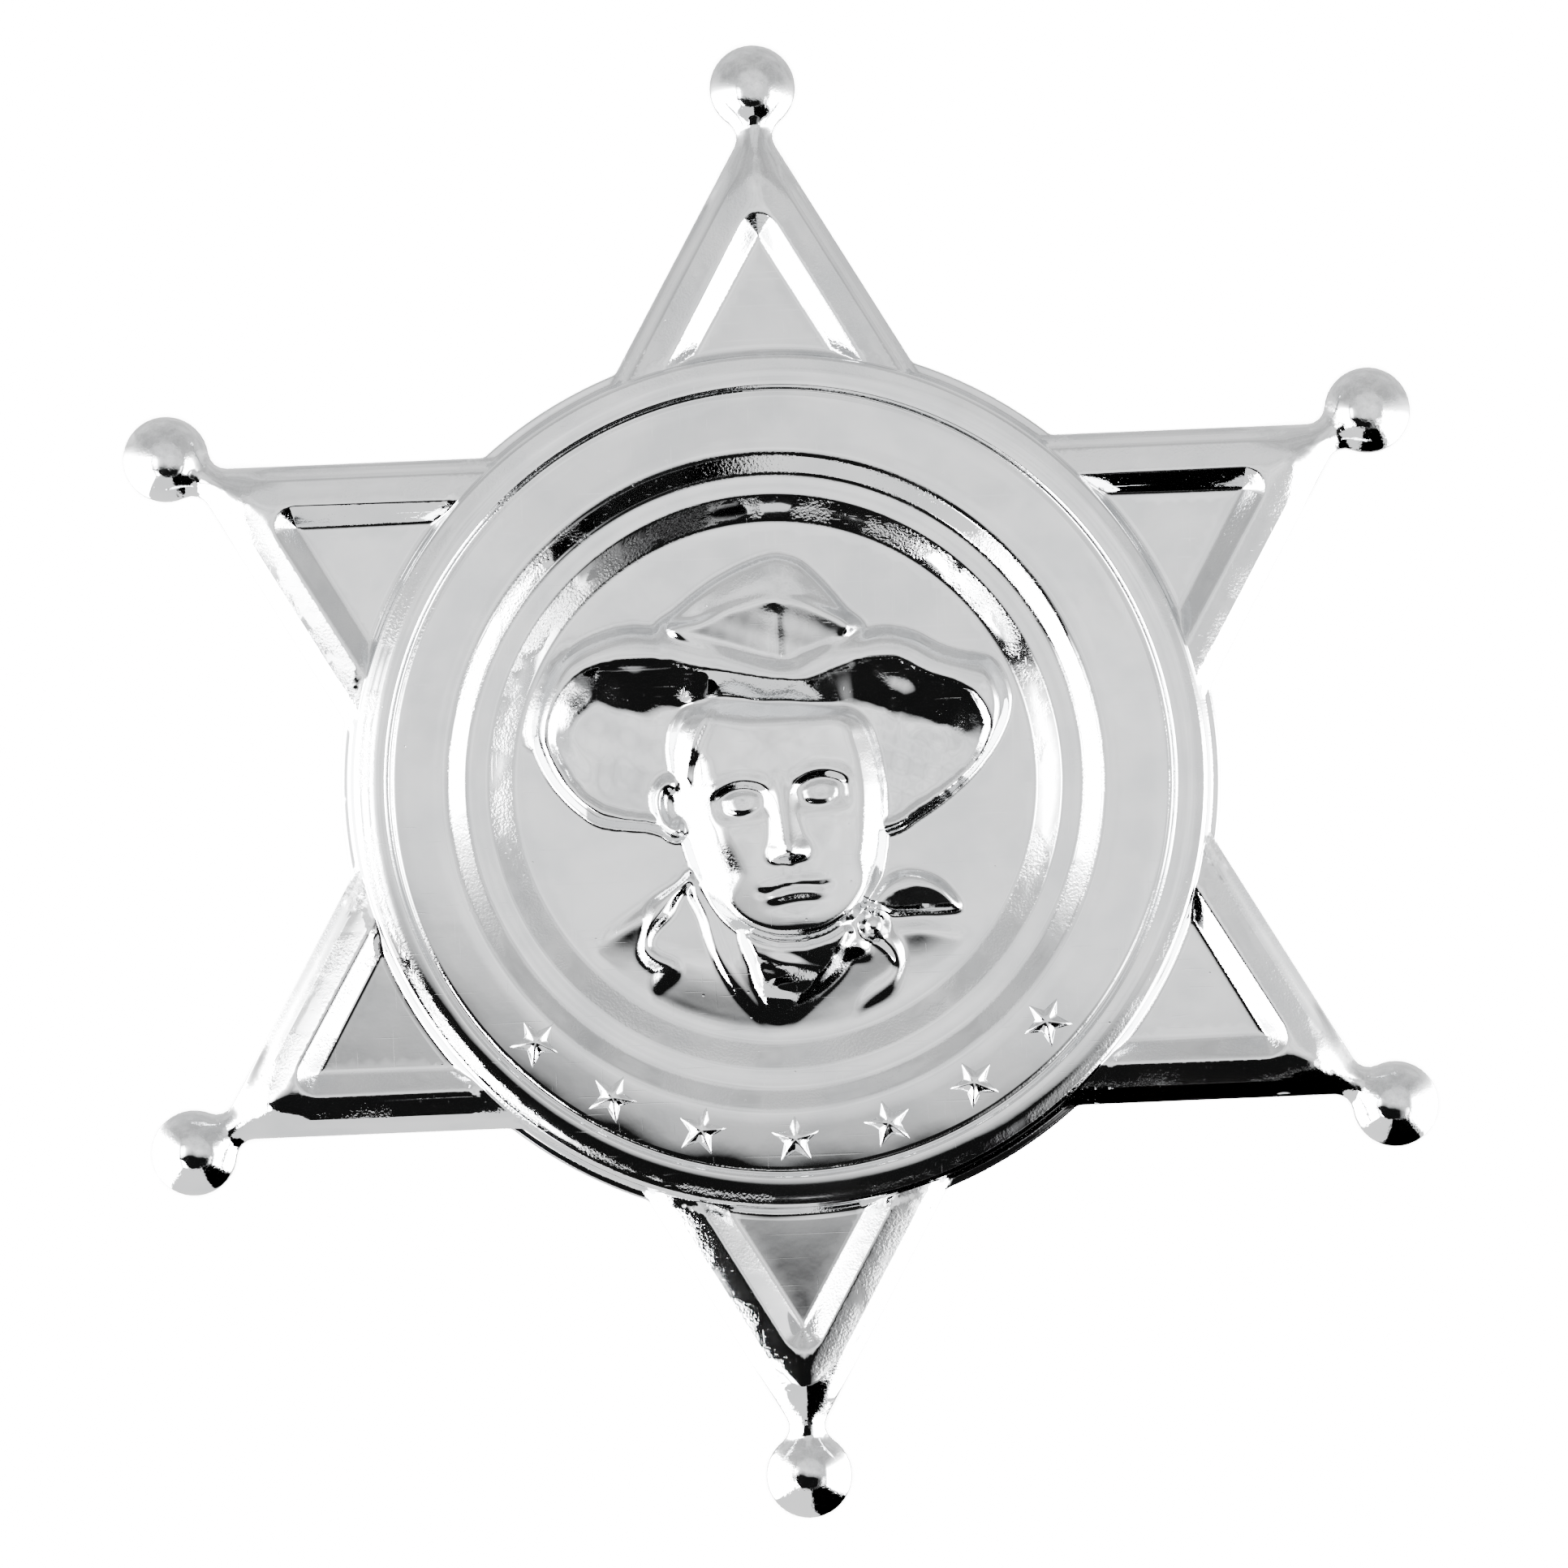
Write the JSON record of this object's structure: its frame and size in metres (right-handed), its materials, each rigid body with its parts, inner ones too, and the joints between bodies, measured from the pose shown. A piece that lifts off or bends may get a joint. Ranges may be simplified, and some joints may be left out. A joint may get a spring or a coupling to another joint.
{
  "type": "sheriff star badge",
  "caption": "Six-pointed star badge with ball tips and a round hatted relief, pressed from sheet metal, hollow at the back, with a brooch pin to wear it by.",
  "frame": {"origin": "centre of the badge on the plane that the back of its flange rests on", "axes": "+Z out of the face, +Y to the top point, +X to the wearer's left, which is the right of someone who faces the badge"},
  "size_m": [0.0664, 0.076, 0.0045],
  "materials": {
    "plated_sheet": "bright plated pressed sheet with fine scratches",
    "pin_steel": "drawn wire and strip, satin"
  },
  "bodies": {
    "root": {"star_shell": "plated_sheet", "brooch_pin": "pin_steel"}
  },
  "joints": []
}
